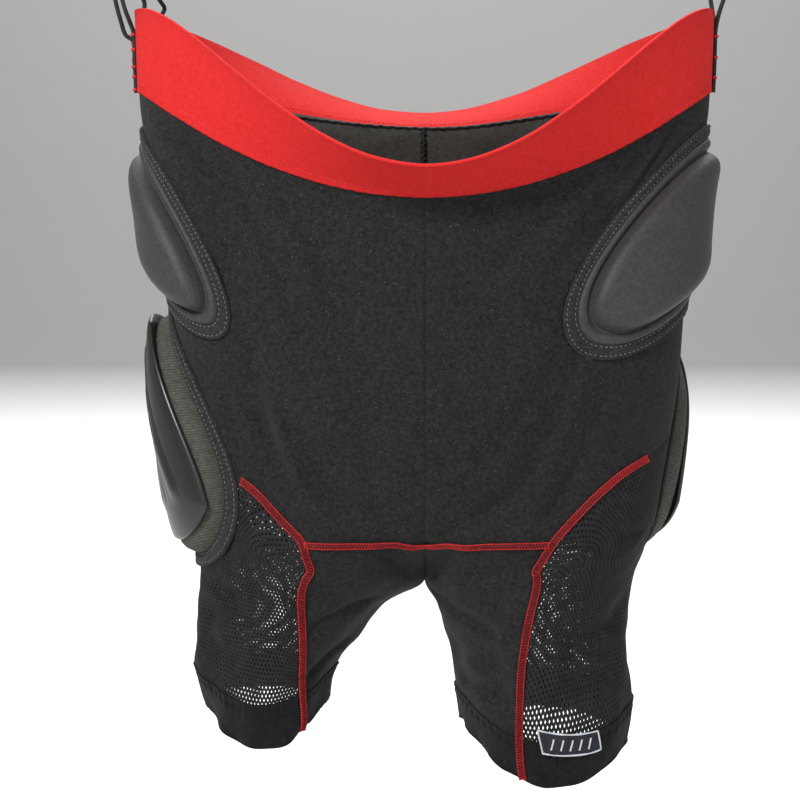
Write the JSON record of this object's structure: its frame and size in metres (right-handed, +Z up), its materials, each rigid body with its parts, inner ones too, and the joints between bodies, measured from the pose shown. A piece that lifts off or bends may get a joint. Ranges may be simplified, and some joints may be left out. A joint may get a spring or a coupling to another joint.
{
  "type": "padded protective shorts",
  "caption": "Black stretch shorts for contact sport with moulded hip pads, hard thigh guards, mesh thigh panels and a red elastic waistband, hanging from cord loops.",
  "frame": {"origin": "midway between the tops of the cord loops at the two corners of the waistband, where a rail or hook would hold them", "axes": "+Z up, +X towards the right side as seen from the front, and the front faces -Y"},
  "size_m": [0.3892, 0.196, 0.5112],
  "materials": {
    "red_elastic": "woven elastic, matt",
    "black_knit": "stretch knit, matt",
    "black_mesh": "coarse open mesh, matt",
    "red_thread": "flat covering stitch",
    "binding": "bound edge with two rows of stitches",
    "moulded_foam": "moulded foam with a close knitted face",
    "ribbed_cover": "ribbed woven cover over foam",
    "hard_shell": "glossy moulded plastic",
    "braided_cord": "round braid"
  },
  "bodies": {
    "root": {"waistband": "red_elastic", "front_panel_left": "black_knit", "front_panel_right": "black_knit", "back_panel_left": "black_knit", "back_panel_right": "black_knit", "inner_leg_left": "black_knit", "inner_leg_right": "black_knit", "leg_hem_left": "black_knit", "leg_hem_right": "black_knit", "mesh_panel_left": "black_mesh", "mesh_panel_right": "black_mesh", "crotch_seam": "red_thread", "leg_seam_left": "red_thread", "leg_seam_right": "red_thread", "hip_binding_left": "binding", "hip_binding_right": "binding", "thigh_binding_left": "binding", "thigh_binding_right": "binding", "hip_pad_left": "moulded_foam", "hip_pad_right": "moulded_foam", "thigh_cushion_left": "ribbed_cover", "thigh_cushion_right": "ribbed_cover", "thigh_shell_left": "hard_shell", "thigh_shell_right": "hard_shell", "leg_patch": "binding", "cord_left_outer": "braided_cord", "cord_left_inner": "braided_cord", "cord_right": "braided_cord"}
  },
  "joints": []
}
